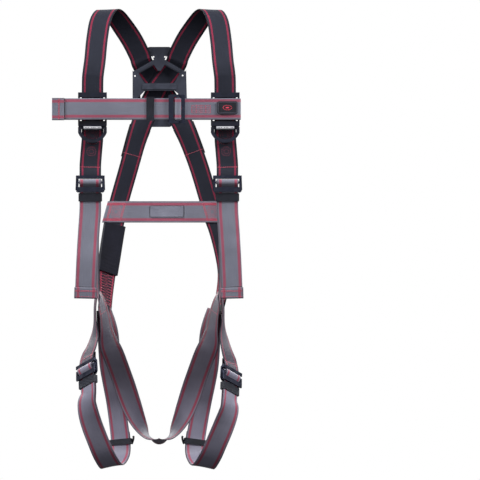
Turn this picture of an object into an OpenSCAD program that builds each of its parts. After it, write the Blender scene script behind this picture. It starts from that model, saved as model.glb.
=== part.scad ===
// Full body fall-arrest harness, hanging as it is worn: +X to the wearer's left, -Y to the chest,
// +Z up. The origin is the centre of the eye of the dorsal D-ring. Millimetres.
// Every strap is a ribbon swept along a route of keys. A key is [x, y, z, wx, wy, wz]:
// a point on the strap's middle line, and the direction across its width.
// Pieces that come in pairs are drawn on the +X side and mirrored for the -X side.

/* [Webbing] */
// Width of the polyester webbing
web_w = 45; // [44:0.5:46]
// Thickness of the webbing
web_t = 1.8; // [1.6:0.1:1.9]
// How finely the straps are divided between two keys
strap_steps = 4; // [3:1:5]

/* [Dorsal ring] */
// Radius of the eye that takes a connector
eye_r = 22; // [20:0.5:22.5]
// Thickness of the forged ring
ring_t = 8; // [7:0.5:8]
// Radius of the bar that the straps pull on
ring_bar_r = 4; // [3.5:0.1:4]

/* [Buckles] */
// Outer width of a buckle
buckle_w = 62; // [60:1:64]
// Thickness of a buckle's steel plate
buckle_t = 3; // [2.5:0.1:3]
// Radius of a friction bar
bar_r = 3; // [2.8:0.05:3]

/* [Chest adjusters] */
// Distance of a chest adjuster from the middle
adjuster_x = 138.5; // [137:0.5:140]
// Height of a chest adjuster
adjuster_h = 70; // [68:1:72]

/* [Hidden] */
$fn = 32;

grey = [0.46, 0.45, 0.48];
dark = [0.13, 0.13, 0.16];
black = [0.07, 0.07, 0.08];
steel = [0.1, 0.1, 0.11];
slate = [0.2, 0.21, 0.25];

gap = 0.3;               // least space between two pieces that move on each other
lap = web_t + 0.3;       // from one layer of webbing to the next

// ---- straps as ribbons ----

function unit(v) = v / norm(v);
function spot(k) = [k[0], k[1], k[2]];
function across(k) = [k[3], k[4], k[5]];
function flip(keys, s) = [for (k = keys) [s * k[0], k[1], k[2], s * k[3], k[4], k[5]]];
function back_to_front(keys) = [for (i = [len(keys) - 1:-1:0]) keys[i]];
function spline(a, b, c, d, t) =
    0.5 * (2 * b + (c - a) * t + (2 * a - 5 * b + 4 * c - d) * t * t
        + (3 * b - a - 3 * c + d) * t * t * t);
// the keys with strap_steps points from each to the next, on a smooth curve
function smooth(keys, steps = strap_steps) = let (last = len(keys) - 1) [
    for (i = [0:last - 1]) for (k = [0:steps - 1])
        spline(keys[max(i - 1, 0)], keys[i], keys[i + 1], keys[min(i + 2, last)], k / steps),
    keys[last]
];
function tangent(keys, i) =
    unit(spot(keys[min(i + 1, len(keys) - 1)]) - spot(keys[max(i - 1, 0)]));
// the direction across the width, made square to the route
function width_dir(keys, i) =
    let (t = tangent(keys, i), w = across(keys[i])) unit(w - (w * t) * t);
function section(keys, i, w, t) =
    let (p = spot(keys[i]), a = width_dir(keys, i), n = cross(tangent(keys, i), a)) [
        p + a * w / 2 + n * t / 2, p - a * w / 2 + n * t / 2,
        p - a * w / 2 - n * t / 2, p + a * w / 2 - n * t / 2
    ];
// the same route moved off its own face by near mm at its end and far mm from fade points before it
function offset_route(keys, near, far, fade) = let (last = len(keys) - 1) [
    for (i = [0:last]) let (
        d = far + (near - far) * max(0, 1 - (last - i) / fade),
        n = cross(tangent(keys, i), width_dir(keys, i)),
        p = spot(keys[i]) - n * d,
        a = width_dir(keys, i)
    ) [p[0], p[1], p[2], a[0], a[1], a[2]]
];

module ribbon(keys, w = web_w, t = web_t) {
    last = len(keys) - 1;
    corners = [for (i = [0:last]) each section(keys, i, w, t)];
    // both faces are split along the same diagonal, so that a twisted strap keeps its thickness
    sides = [
        for (i = [0:last - 1]) for (k = [0:3]) let (
            a = 4 * i + k, b = 4 * i + (k + 1) % 4, c = b + 4, d = a + 4
        ) each k < 2 ? [[a, d, c], [a, c, b]] : [[a, d, b], [b, d, c]]
    ];
    end = 4 * last;
    polyhedron(corners, concat([[0, 1, 2], [0, 2, 3]], sides,
        [[end, end + 2, end + 1], [end, end + 3, end + 2]]));
}

// ---- buckle places: [origin, u across the strap, v up the strap, n out of its face] ----

function place(o, u, v) = let (n = unit(cross(u, v))) [o, unit(u), cross(n, unit(u)), n];
function at(b, v, n) = b[0] + b[2] * v + b[3] * n;
function key_at(b, v, n) = concat(at(b, v, n), b[1]);
function keys_at(b, points) = [for (p = points) key_at(b, p[0], p[1])];

torso_place = place([143, -226, -150], [1, 0, 0], [0, 0, 1]);
function leg_place(drop) = place([150, -165, -539 - drop], [0.64, 0.68, -0.36], [0, 0.41, 0.912]);
chest_place = place([39, -235.8, 4], [0, 0, -1], [1, 0, 0]);
left_drop = 0;
right_drop = 14;          // the +X leg buckle is adjusted this much lower

module placed(b) {
    multmatrix([
        for (i = [0:2]) [b[1][i], b[2][i], b[3][i], b[0][i]]
    ]) children();
}
module sided(s) {
    mirror([s < 0 ? 1 : 0, 0, 0]) children();
}

// how the adjustable strap runs round the friction bar, as [v, n]
bar_v = 1;                // where the friction bar rests
bar_n = 3.4;
bar_travel = 1.2;
roll_v = 2.4;             // the middle of the strap's roll, and its radius
roll_r = 4.5;
tail_n = 1.4;             // the tail in front, and the loaded run behind
load_n = -4.2;
tail_runs = [[-16, tail_n], [-12, 1.5], [-8.5, 1.8], [-6.5, 2.9], [-3.5, 6], [-0.5, 7.7]];
load_runs = [[-2, -1.6], [-7, -3.2], [-11, load_n], [-16, load_n]];
// from the tail, over the bar, to the loaded run
function rolled(b) = concat(
    keys_at(b, tail_runs),
    [for (a = [0:20:180]) key_at(b, roll_v + roll_r * sin(a), bar_n + roll_r * cos(a))],
    keys_at(b, load_runs)
);

// how the other strap is looped round the frame's top bar, from its sewn end to the front
loop_v = 13;
loop_n = -1.5;
loop_bar_r = 2.5;
loop_r = loop_bar_r + gap + web_t / 2;
function looped(b, back, front) = concat(
    keys_at(b, back),
    [for (a = [180:-20:0]) key_at(b, loop_v - loop_r * sin(a), loop_n + loop_r * cos(a))],
    keys_at(b, front)
);

// ---- routes ----

strap_y = -222;           // middle of a shoulder strap where the chest adjuster slides
torso_back_layer = [[38, -6.3], [30, -6.2], [20, -5.6]];
torso_front_layer = [[18, 1.9], [25, 0.3], [33, -2.2]];
over_shoulder = [
    [142.2, strap_y - 0.7, -102, 1, 0, 0], [140.4, strap_y, -80, 1, 0, 0], [adjuster_x, strap_y, -54, 1, 0, 0],
    [adjuster_x, strap_y, -10, 1, 0, 0], [138.2, strap_y, 60, 1, 0, 0], [136.8, strap_y + 0.6, 80, 1, 0, 0.03],
    [133.4, -213.5, 106, 1, 0, 0.06], [129, -187, 152, 1, 0.03, 0.1],
    [122, -155, 191, 0.98, 0.15, 0.1], [109, -118, 212, 0.94, 0.36, 0],
    [94.5, -84, 203.5, 0.88, 0.34, -0.3], [75.5, -54, 178, 0.86, 0.18, -0.46],
    [56.5, -34, 149, 0.84, 0.05, -0.54], [41, -26, 118, 0.86, 0, -0.5]
];
slot_in = [
    [37.2, -24.4, 105.5, 0.87, 0, -0.5], [35, -20.5, 100.5, 0.87, 0, -0.5], [32.5, -16, 96, 0.87, 0, -0.5]
];
function crossing(y, above) = [[22, above, 82, 0.85, 0, -0.52], [0, y, 53, 0.85, 0, -0.5]];
to_left_back = [
    [12, -9.69, 30, 0.89, 0, 0.45], [20, -16.09, 13, 0.91, 0, 0.41], [22.5, -16.07, 6.5, 0.91, 0, 0.41],
    [24.6, -20.5, 2, 0.91, 0, 0.41], [26.6, -24.8, -3, 0.91, 0, 0.41],
    [35, -27, -21, 0.93, -0.15, 0.33], [48, -29, -60, 0.88, -0.4, 0.28], [64, -30, -118, 0.86, -0.45, 0.25],
    [83, -33, -185, 0.86, -0.46, 0.22], [90, -36, -215, 0.86, -0.46, 0.2], [96, -41, -250, 0.85, -0.5, 0.15],
    [103, -50, -295, 0.84, -0.53, 0.1], [109, -62, -338, 0.76, -0.62, 0.08], [112, -80, -384, 0.6, -0.78, 0],
    [112, -100, -428, 0.42, -0.9, 0]
];
to_right_back = [
    [14, -6.14, 30, 0.87, 0, 0.5], [25, -11.91, 13, 0.86, 0, 0.52], [28.8, -14.56, 6.8, 0.86, 0, 0.52],
    [31.5, -20.5, 2, 0.86, 0, 0.52], [34.5, -24.8, -3, 0.86, 0, 0.52],
    [46, -27, -21, 0.9, -0.15, 0.42], [63, -29, -60, 0.88, -0.4, 0.35], [84, -30, -118, 0.86, -0.45, 0.28],
    [104, -33, -185, 0.86, -0.46, 0.22], [112, -36, -215, 0.86, -0.46, 0.2], [123, -42, -250, 0.8, -0.58, 0.12],
    [132, -52, -295, 0.68, -0.72, 0.06], [136, -64, -338, 0.56, -0.82, 0], [131, -82, -384, 0.5, -0.86, -0.05],
    [122, -100, -428, 0.42, -0.9, 0]
];
// a shoulder strap starts on side s and, past the crossing, runs down the other side of the back
function shoulder_route(s, under, above, down) = concat(
    flip(looped(torso_place, torso_back_layer, torso_front_layer), s),
    smooth(concat(flip(over_shoulder, s), flip(slot_in, s), flip(crossing(under, above), s),
        [for (k = down) [-s * k[0], k[1], k[2], s * k[3], -k[4], -k[5]]]))
);

tail_end = [
    [152.5, -238, -390.5, 1, 0, 0.03], [151.5, -238, -355, 1, 0, 0.03], [149, -236, -300, 1, 0, 0.03],
    [146, -231, -250, 1, 0, 0.02], [143.4, -227.6, -212, 1, 0, 0], [143, -227.4, -190, 1, 0, 0]
];
front_load = [
    [143, -221.8, -170, 1, 0, 0], [143, -221.8, -210, 1, 0, 0], [145, -214, -252, 0.92, 0.38, 0],
    [143, -194, -300, 0.75, 0.64, 0], [138, -168, -342, 0.45, 0.86, 0], [131, -141, -380, 0.18, 0.96, 0.12],
    [124, -126, -401, -0.25, 0.95, 0.2]
];
front_route = concat(smooth(tail_end), rolled(torso_place), smooth(front_load));

// half of the seat strap, from the hip to the middle
seat_half = [
    [128.5, -141, -376, 0.16, 0.96, 0.15], [121.5, -128, -399, -0.3, 0.93, 0.2], [114, -119, -430, -0.45, 0.86, 0.2], [110, -118, -458, -0.56, 0.8, 0.25],
    [104.5, -116, -486, -0.82, 0.42, 0.36], [93, -112, -515, -0.92, 0, 0.4], [76, -103, -562, -0.93, -0.08, 0.36],
    [59, -91, -612, -0.88, 0.3, 0.36], [44, -81, -647, -0.68, 0.66, 0.3], [28, -73, -673, -0.42, 0.9, 0.1],
    [14, -68, -685.5, -0.16, 0.97, -0.16]
];
seat_route = smooth(concat(flip(seat_half, -1), [[0, -66, -690.5, 0, 0.95, -0.3]],
    back_to_front(seat_half)));

left_leg_loop = [
    [116, -92, -414, 0.66, -0.72, 0], [107, -90, -466, 0.86, -0.2, 0], [103, -86, -530, 0.88, 0.2, 0],
    [98, -80, -570, 0.86, 0.4, 0.1], [91, -75, -610, 0.87, 0.46, 0.12], [85, -74, -652, 0.87, 0.46, 0.1],
    [81, -76, -692, 0.88, 0.42, 0], [84, -87, -722, 0.93, 0.25, -0.1], [99, -120, -740, 0.97, 0, -0.18],
    [114, -152, -720, 0.95, -0.02, -0.26], [128, -170, -687, 0.93, 0, -0.36], [143, -182, -645, 0.94, 0.2, -0.26],
    [149, -186.5, -612, 0.82, 0.5, -0.26]
];
right_leg_loop = [
    [116, -92, -414, 0.66, -0.72, 0], [107, -90, -466, 0.86, -0.2, 0], [103, -86, -530, 0.88, 0.2, 0],
    [98, -80, -570, 0.86, 0.4, 0.1], [90, -75, -610, 0.87, 0.46, 0.12], [82, -74, -652, 0.87, 0.46, 0.1],
    [76, -76, -692, 0.88, 0.42, 0], [78, -87, -722, 0.93, 0.25, -0.1], [92, -120, -741, 0.97, 0, -0.18],
    [107, -152, -722, 0.95, -0.02, -0.26], [121.5, -170, -690, 0.93, 0, -0.36], [137, -182, -652, 0.94, 0.2, -0.26],
    [145.5, -186.5, -624, 0.82, 0.5, -0.26]
];
keeper_end = -52;         // how far below the buckle the leg strap's two layers run straight
function leg_load(loop, b) = smooth(concat(loop, [key_at(b, keeper_end, load_n), key_at(b, -16, load_n)]));
tail_left_out = 22;       // points of the loop that the tail doesn't reach
function leg_route(loop, b) = let (
    load = leg_load(loop, b), tail = offset_route(load, tail_n - load_n, lap, 12)
) concat(
    load, back_to_front(rolled(b)),
    [for (i = [len(tail) - 2:-1:tail_left_out]) tail[i]]
);

function riser_route(b) = concat(
    looped(b, [[34, -5.8], [26, -5.6], [20, -5.4]], [[18, 1.9], [24, 0.6]]),
    smooth([
        key_at(b, 32, -1.6), [142.5, -146, -494 + (b[0][2] + 539) * 0.5, 0.55, 0.75, -0.25],
        [136, -131, -470, 0.35, 0.92, -0.1], [134, -124, -445, 0.14, 0.98, 0], [134, -122, -410, 0.1, 0.99, 0],
        [131, -127, -380, 0.1, 0.97, 0.1]
    ])
);

waist_z = -210;
waist_keys = [
    [-110, -48.6, waist_z, 0, 0, 1], [-88, -38, waist_z, 0, 0, 1], [-64, -26, waist_z, 0, 0, 1],
    [-24, -17, waist_z, 0, 0, 1], [16, -15, waist_z, 0, 0, 1], [60, -18, waist_z, 0, 0, 1],
    [86, -26, waist_z, 0, 0, 1], [110, -38, waist_z, 0, 0, 1], [133, -49.5, waist_z, 0, 0, 1]
];
waist_route = smooth(waist_keys, 3);

// the chest strap's ends go round the adjuster's outer bar and come forward through its window
window_x = adjuster_x + 28;
wrap_y = -228;
wrap_r = 2.6 + 0.2 + web_t / 2;
outer_wrap = [for (a = [180:-20:0]) [window_x + wrap_r * sin(a), wrap_y + wrap_r * cos(a), 4, 0, 0, 1]];
inside_end = [[118, -229.3, 4, 0, 0, 1], [134, -229.2, 4, 0, 0, 1], [148, -228, 4, 0, 0, 1], [158, -225.4, 4, 0, 0, 1]];
function anchored(s) = flip(concat(inside_end, back_to_front(outer_wrap)), s);
chest_tail = [
    [-222, -236, 4, 0, 0, -1], [-170, -236.8, 4, 0, 0, -1], [-110, -237.2, 4, 0, 0, -1], [-60, -237.2, 4, 0, 0, -1]
];
chest_left_route = concat(
    smooth(chest_tail, 3), rolled(chest_place),
    smooth([[-20, -231.6, 4, 0, 0, -1], [-80, -231.6, 4, 0, 0, -1], [-140, -231.5, 4, 0, 0, -1]], 2),
    [for (k = back_to_front(anchored(-1))) [k[0], k[1], k[2], 0, 0, -1]]
);
chest_right_route = concat(
    looped(chest_place, [[65, -5.7], [45, -4.9], [30, -5.2], [20, -5.4]],
        [[20, 1.6], [30, -0.7], [45, -2.5], [65, -3.4], [85, -4.2]]),
    [for (k = back_to_front(anchored(1))) [k[0], k[1], k[2], 0, 0, -1]]
);

// ---- webbing modules ----

module shoulder_strap(s) {
    color(dark) ribbon(s < 0 ? shoulder_route(-1, -4.8, -6.48, to_right_back) : shoulder_route(1, -7.47, -9.99, to_left_back));
}
module front_strap(s) {
    color(grey) ribbon(flip(front_route, s));
}
module seat_strap() {
    color(grey) ribbon(seat_route);
}
module leg_strap(s) {
    color(grey) ribbon(flip(s < 0 ? leg_route(left_leg_loop, leg_place(left_drop))
        : leg_route(right_leg_loop, leg_place(right_drop)), s));
}
module leg_riser(s) {
    color(dark) ribbon(flip(riser_route(leg_place(s < 0 ? left_drop : right_drop)), s));
}
module waist_strap() {
    color(grey) ribbon(waist_route);
}
module waist_patch() {
    // follows the middle of the waist strap, on the wearer's side
    middle = [for (k = smooth(waist_keys, 8)) if (abs(k[0] - 16) < 37)
        [k[0], k[1] - web_t / 2 - 0.5, k[2], 0, 0, 1]];
    color(grey) ribbon(middle, 24, 0.7);
}
module chest_strap_left() {
    color(grey) ribbon(chest_left_route);
}
module chest_strap_right() {
    color(grey) ribbon(chest_right_route);
}

// ---- back plate and dorsal ring ----

plate_back = -18;
plate_t = 4;
module rounded(r) {
    offset(r) offset(-r) children();
}
module slot_cut(x, z, angle) {
    translate([x, z]) rotate(angle) square([50, 8], center = true);
}
module plate_outline() {
    rounded(5) polygon([
        [-22, 136], [22, 136], [56, 104], [58, 26], [24, -32], [-24, -32], [-56, 26], [-56, 104]
    ]);
}
module upper_window() {
    polygon([[-31, 60], [31, 60], [43, 80], [11, 98], [3, 86], [-3, 86], [-11, 98], [-43, 80]]);
}
module lower_window() {
    polygon([[-30, 44], [32, 44], [50, 30], [13, 11], [-3, 10], [-46, 28]]);
}
lace_holes = [[-12, 115], [12, 115], [-51, 75], [49, 76], [50, 93], [-46, 18]];
lace_hole_r = 1.8;
module back_plate() {
    color(slate) translate([0, plate_back, 0]) rotate([90, 0, 0]) difference() {
        linear_extrude(plate_t) difference() {
            plate_outline();
            upper_window();
            lower_window();
            slot_cut(35, 100.5, -30);
            slot_cut(-35, 100.5, 30);
            slot_cut(31.5, 2, 31);
            slot_cut(-24.6, 2, -24);
            for (h = lace_holes) translate(h) circle(lace_hole_r);
        }
    }
}

bar_y = -13;
bar_z = 52;
leg_x = 43;
ring_top_z = 27;
module rod(a, b, r) {
    d = b - a;
    translate(a) rotate([0, acos(d[2] / norm(d)), atan2(d[1], d[0])]) cylinder(h = norm(d), r = r);
}
module dorsal_ring() {
    rim = 9.5;
    shoulder = 6;
    color(steel) {
        difference() {
            rotate([90, 0, 0]) linear_extrude(ring_t, center = true) union() {
                circle(eye_r + rim, $fn = 72);
                polygon([[-leg_x - 4, ring_top_z + 2], [leg_x + 4, ring_top_z + 2],
                    [eye_r + rim, 2], [-eye_r - rim, 2]]);
            }
            rotate([90, 0, 0]) cylinder(h = ring_t + 2, r = eye_r, center = true, $fn = 72);
        }
        for (s = [-1, 1])
            rod([s * leg_x, 0, ring_top_z - shoulder], [s * leg_x, bar_y, bar_z], ring_bar_r - 0.4);
        translate([0, bar_y, bar_z]) rotate([0, 90, 0])
            cylinder(h = 2 * (leg_x + ring_bar_r), r = ring_bar_r, center = true);
    }
}

// ---- label sleeve with its booklet, on the -X back strap ----

sleeve_keys = smooth([for (k = to_left_back) if (k[2] < -200 && k[2] > -345) [-k[0], k[1], k[2], -k[3], k[4], k[5]]], 6);
function between(keys, low, high) = [for (k = keys) if (k[2] >= low && k[2] <= high) k];
function behind(keys, d) = [for (i = [0:len(keys) - 1]) let (
    n = cross(tangent(keys, i), width_dir(keys, i)), p = spot(keys[i]) + n * d
) concat(p, across(keys[i]))];
sleeve_low = -338;
sleeve_high = -236;
booklet_off = -2.3;
module label_sleeve() {
    color(black) difference() {
        ribbon(behind(between(sleeve_keys, sleeve_low, sleeve_high), booklet_off / 2), web_w + 4, 8);
        ribbon(behind(sleeve_keys, booklet_off / 2), web_w + 1.6, 5.8);
    }
}
module label_booklet() {
    color("whitesmoke") ribbon(behind(between(sleeve_keys, sleeve_low + 5, sleeve_high + 5), booklet_off), web_w - 6, 1.2);
}

// ---- buckles, drawn flat in the place's u, v, n ----

arm_in = web_w / 2 + 2;
arm_out = arm_in + 4.8;
frame_low = -20;
frame_high = 16;
module bar_shape(r, len) {
    rotate([0, 90, 0]) cylinder(h = len, r = r, center = true);
}
bridge_v = [8.3, 15.6];
bridge_n = [3.5, 5.6];
module buckle_frame() {
    window_high = loop_v - loop_bar_r;
    window_low = -14;
    translate([0, 0, -buckle_t]) linear_extrude(buckle_t) difference() {
        polygon([
            [-buckle_w / 2 + 5, frame_high], [buckle_w / 2 - 5, frame_high],
            [buckle_w / 2 - 1, frame_high - 5], [buckle_w / 2, frame_low + 6],
            [buckle_w / 2 - 4, frame_low], [-buckle_w / 2 + 4, frame_low],
            [-buckle_w / 2, frame_low + 6], [-buckle_w / 2 + 1, frame_high - 5]
        ]);
        translate([-arm_in, window_low]) square([2 * arm_in, frame_high + 1 - window_low]);
    }
    translate([0, loop_v, loop_n]) bar_shape(loop_bar_r, 2 * arm_in + 2);
    // the bridge that lies over the sewn loop, on two posts
    translate([-buckle_w / 2 + 1, bridge_v[0], bridge_n[0]])
        cube([buckle_w - 2, bridge_v[1] - bridge_v[0], bridge_n[1] - bridge_n[0]]);
    for (s = [-1, 1]) translate([s * (arm_in + 2.7) - 1.7, bridge_v[0], -1])
        cube([3.4, bridge_v[1] - bridge_v[0], bridge_n[0] + 2]);
}
ear_r = 2.6;
rail_n = [3.5, 6.5];
rail_v = [-18.5, -8.5];
tenon_r = 1.4;
module buckle_link() {
    slot_r = tenon_r + 0.08;
    for (s = [-1, 1]) translate([s * (arm_in + arm_out) / 2, 0, 0]) difference() {
        rotate([90, 0, 90]) linear_extrude(arm_out - arm_in, center = true) difference() {
            union() {
                translate([bar_v, bar_n]) circle(ear_r);
                translate([bar_v + bar_travel, bar_n]) circle(ear_r);
                translate([bar_v, bar_n - ear_r]) square([bar_travel, 2 * ear_r]);
                polygon([[bar_v, bar_n - ear_r], [bar_v + bar_travel, bar_n + ear_r],
                    [rail_v[1], rail_n[1]], [rail_v[0], rail_n[1]], [rail_v[0], rail_n[0]], [-6, 2.4]]);
            }
            translate([bar_v, bar_n]) circle(slot_r);
            translate([bar_v + bar_travel, bar_n]) circle(slot_r);
            translate([bar_v, bar_n - slot_r]) square([bar_travel, 2 * slot_r]);
        }
    }
    translate([-arm_in - 1, rail_v[0], rail_n[0]])
        cube([2 * arm_in + 2, rail_v[1] - rail_v[0], rail_n[1] - rail_n[0]]);
}
module buckle_bar() {
    translate([0, bar_v, bar_n]) {
        bar_shape(bar_r, 2 * arm_in - 2 * gap);
        bar_shape(tenon_r, 2 * arm_out);
    }
}
keeper_low = -38.5;
keeper_high = -21.5;
keeper_t = 1.3;
module keeper_band(low = keeper_low, high = keeper_high, n_low = load_n, n_high = tail_n, loose = 0) {
    inner_w = web_w + 1.6 + loose;
    slack = web_t / 2 + gap + 0.1 + loose;
    rotate([90, 0, 0]) translate([0, 0, -high]) linear_extrude(high - low) difference() {
        translate([-inner_w / 2 - keeper_t, n_low - slack - keeper_t])
            square([inner_w + 2 * keeper_t, n_high - n_low + 2 * slack + 2 * keeper_t]);
        translate([-inner_w / 2, n_low - slack]) square([inner_w, n_high - n_low + 2 * slack]);
    }
}
module on_torso(s) {
    sided(s) placed(torso_place) children();
}
module on_leg(s) {
    sided(s) placed(leg_place(s < 0 ? left_drop : right_drop)) children();
}
// the lower leg keepers sit square on the back run of the loop
function hem_place(s) = let (
    load = leg_load(s < 0 ? left_leg_loop : right_leg_loop, leg_place(s < 0 ? left_drop : right_drop)),
    i = 6 * strap_steps
) [spot(load[i]), width_dir(load, i), -tangent(load, i), cross(width_dir(load, i), -tangent(load, i))];
module hem_keeper(s) {
    color(black) sided(s) placed(hem_place(s)) keeper_band(-6, 6, -lap, 0, 0.7);
}

// ---- chest adjusters and parking rings ----

adjuster_z = 4;
front_y = -230;
back_y = -217.5;
bar_depth = 3.2;
side_bar = 4;
adjuster_w = 60;
window_h = 49;
hinge_z = -36;
hinge_r = 2;
hinge_y = -228.5;
module chest_adjuster(s) {
    block_h = (adjuster_h - window_h) / 2;
    top_z = adjuster_z + window_h / 2;
    low_z = adjuster_z - window_h / 2 - block_h;
    slot_w = web_w + 2;
    color(black) sided(s) translate([adjuster_x, 0, 0]) {
        for (side = [-1, 1])
            translate([side * (adjuster_w - side_bar) / 2 - side_bar / 2, wrap_y - bar_depth / 2,
                adjuster_z - window_h / 2 - 1])
                cube([side_bar, bar_depth, window_h + 2]);
        for (z = [top_z, low_z]) difference() {
            translate([-adjuster_w / 2, front_y, z]) cube([adjuster_w, back_y - front_y, block_h]);
            translate([-slot_w / 2, strap_y - web_t / 2 - 0.5, z - 1]) cube([slot_w, web_t + 1, block_h + 2]);
        }
        difference() {
            union() {
                translate([-20, front_y, hinge_z - 4]) cube([40, 3.6, low_z - hinge_z + 5]);
                translate([0, hinge_y, hinge_z]) rotate([0, 90, 0]) cylinder(h = 40, r = 3.6, center = true);
            }
            translate([0, hinge_y, hinge_z]) rotate([0, 90, 0]) cylinder(h = 42, r = hinge_r + 0.07, center = true);
        }
    }
}
module parking_ring(s) {
    // a D: an arc below straight sides, with ears at the top that carry the hinge bar
    ring_y = -231;
    thick = 4.6;
    ear = 7;
    arc_r = 32;
    low = adjuster_w / 2 - ear;
    color(black) sided(s) translate([adjuster_x, 0, 0]) {
        translate([0, ring_y + thick, hinge_z]) rotate([90, 0, 0]) linear_extrude(thick) difference() {
            intersection() {
                translate([0, 2]) circle(arc_r, $fn = 72);
                translate([-adjuster_w / 2, -arc_r]) square([adjuster_w, arc_r + 3]);
            }
            intersection() {
                translate([0, 2]) circle(arc_r - ear, $fn = 72);
                translate([-low, -arc_r]) square([2 * low, 2 * arc_r]);
            }
        }
        translate([0, hinge_y, hinge_z]) rotate([0, 90, 0])
            cylinder(h = adjuster_w - 2 * ear + 2, r = hinge_r, center = true);
    }
}

// ---- small pieces ----

module chest_badge() {
    // a blank moulded rubber badge, sewn to the chest strap near its +X end
    size = [42, 27];
    corner = 4;
    color(black) translate([143, -232.6, 7]) rotate([90, 0, 0]) linear_extrude(2.4) union() {
        square([size[0] - 2 * corner, size[1]], center = true);
        square([size[0], size[1] - 2 * corner], center = true);
        for (x = [-1, 1], z = [-1, 1])
            translate([x * (size[0] / 2 - corner), z * (size[1] / 2 - corner)]) circle(corner);
    }
}

shoulder_strap(-1);  // left_shoulder_strap
shoulder_strap(1);  // right_shoulder_strap
front_strap(-1);  // left_front_strap
front_strap(1);  // right_front_strap
seat_strap();
leg_strap(-1);  // left_leg_strap
leg_strap(1);  // right_leg_strap
leg_riser(-1);  // left_leg_riser
leg_riser(1);  // right_leg_riser
waist_strap();
waist_patch();
chest_strap_left();
chest_strap_right();
chest_badge();
back_plate();
dorsal_ring();
label_sleeve();
label_booklet();
color(steel) on_torso(-1) buckle_frame();  // left_torso_frame
color(steel) on_torso(1) buckle_frame();  // right_torso_frame
color(steel) on_torso(-1) buckle_link();  // left_torso_link
color(steel) on_torso(1) buckle_link();  // right_torso_link
color(steel) on_torso(-1) buckle_bar();  // left_torso_bar
color(steel) on_torso(1) buckle_bar();  // right_torso_bar
color(steel) on_leg(-1) buckle_frame();  // left_leg_frame
color(steel) on_leg(1) buckle_frame();  // right_leg_frame
color(steel) on_leg(-1) buckle_link();  // left_leg_link
color(steel) on_leg(1) buckle_link();  // right_leg_link
color(steel) on_leg(-1) buckle_bar();  // left_leg_bar
color(steel) on_leg(1) buckle_bar();  // right_leg_bar
color(steel) placed(chest_place) buckle_frame();  // chest_frame
color(steel) placed(chest_place) buckle_link();  // chest_link
color(steel) placed(chest_place) buckle_bar();  // chest_bar
chest_adjuster(-1);  // left_chest_adjuster
chest_adjuster(1);  // right_chest_adjuster
parking_ring(-1);  // left_parking_ring
parking_ring(1);  // right_parking_ring
color(black) placed(chest_place) keeper_band(-65, -48.5);  // chest_keeper
color(black) on_torso(-1) keeper_band();  // left_tail_keeper
color(black) on_torso(1) keeper_band();  // right_tail_keeper
color(black) on_leg(-1) keeper_band();  // left_leg_keeper
color(black) on_leg(1) keeper_band();  // right_leg_keeper
hem_keeper(-1);  // left_hem_keeper
hem_keeper(1);  // right_hem_keeper
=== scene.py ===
"""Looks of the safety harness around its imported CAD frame. Lengths in the helpers are in mm."""
import math
import random

import bmesh
import bpy
import numpy as np
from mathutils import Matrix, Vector


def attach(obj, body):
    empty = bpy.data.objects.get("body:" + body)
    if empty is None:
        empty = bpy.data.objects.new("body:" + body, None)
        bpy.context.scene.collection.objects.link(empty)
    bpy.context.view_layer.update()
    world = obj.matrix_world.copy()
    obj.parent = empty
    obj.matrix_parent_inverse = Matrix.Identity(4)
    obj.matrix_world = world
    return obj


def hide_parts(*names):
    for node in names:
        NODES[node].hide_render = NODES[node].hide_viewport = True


MM = 0.001
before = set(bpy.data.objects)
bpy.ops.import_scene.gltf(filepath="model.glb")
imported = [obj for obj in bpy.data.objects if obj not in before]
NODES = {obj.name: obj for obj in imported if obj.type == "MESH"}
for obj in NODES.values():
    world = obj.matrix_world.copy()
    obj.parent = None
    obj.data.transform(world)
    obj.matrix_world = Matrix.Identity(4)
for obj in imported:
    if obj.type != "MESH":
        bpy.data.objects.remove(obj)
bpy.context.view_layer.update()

WEB_W, WEB_T = 45.0, 1.7
LEFT, RIGHT = -1, 1
SIDES = {LEFT: "left", RIGHT: "right"}


# ---- routes, as in the CAD: keys are [x, y, z, wx, wy, wz] ----

def unit(v):
    v = np.asarray(v, float)
    return v / np.linalg.norm(v)


def smooth(keys, steps=4):
    keys = [np.asarray(k, float) for k in keys]
    last = len(keys) - 1
    out = []
    for i in range(last):
        a, b, c, d = keys[max(i - 1, 0)], keys[i], keys[i + 1], keys[min(i + 2, last)]
        for k in range(steps):
            t = k / steps
            out.append(0.5 * (2 * b + (c - a) * t + (2 * a - 5 * b + 4 * c - d) * t * t
                              + (3 * b - a - 3 * c + d) * t ** 3))
    return out + [keys[last]]


def flip(keys, s):
    return [[s * k[0], k[1], k[2], s * k[3], k[4], k[5]] for k in keys]


def tangents(p):
    t = np.empty_like(p)
    t[1:-1], t[0], t[-1] = p[2:] - p[:-2], p[1] - p[0], p[-1] - p[-2]
    return t / np.linalg.norm(t, axis=1)[:, None]


def frames(keys):
    """points, tangents, width directions and normals of a route"""
    k = np.array([list(x) for x in keys], float)
    p, t = k[:, :3], tangents(k[:, :3])
    w = k[:, 3:] - (k[:, 3:] * t).sum(1)[:, None] * t
    w /= np.linalg.norm(w, axis=1)[:, None]
    return p, t, w, np.cross(t, w)


def offset_route(keys, near, far, fade):
    p, t, w, n = frames(keys)
    last = len(keys) - 1
    d = np.array([far + (near - far) * max(0, 1 - (last - i) / fade) for i in range(last + 1)])
    return [list(a) + list(b) for a, b in zip(p - n * d[:, None], w)]


def place(o, u, v):
    n = unit(np.cross(u, v))
    return [np.array(o, float), unit(u), np.cross(n, unit(u)), n]


def at(b, v, n):
    return b[0] + b[2] * v + b[3] * n


def keys_at(b, points):
    return [list(at(b, v, n)) + list(b[1]) for v, n in points]


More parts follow.
